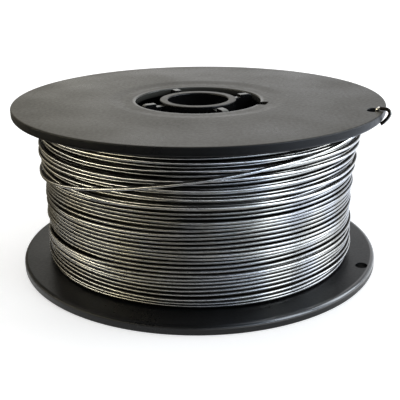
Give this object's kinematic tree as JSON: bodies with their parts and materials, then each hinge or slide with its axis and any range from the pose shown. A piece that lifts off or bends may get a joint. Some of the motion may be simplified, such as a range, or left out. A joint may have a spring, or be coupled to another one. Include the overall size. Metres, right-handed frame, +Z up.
{
  "type": "spool of flux-cored welding wire",
  "caption": "Black moulded spool of flux-cored welding wire standing on one flange, its wire end hooked over the rim of the upper flange.",
  "frame": {"origin": "centre of the lower flange's outer face, on the bore's axis, at the surface that the spool stands on", "axes": "+Z up along the bore's axis, from the flange it stands on to the flange that holds the wire's end; -Y towards the viewer and +X to the viewer's right, with the wire holes 22 degrees clockwise of +X seen from above"},
  "size_m": [0.1, 0.1, 0.046],
  "materials": {
    "spool_plastic": "satin moulded black, lightly scuffed",
    "wire_steel": "bright drawn wire"
  },
  "bodies": {
    "root": {"spool_body": "spool_plastic", "top_flange": "spool_plastic", "wire_winding": "wire_steel", "wire_tail": "wire_steel"}
  },
  "joints": []
}
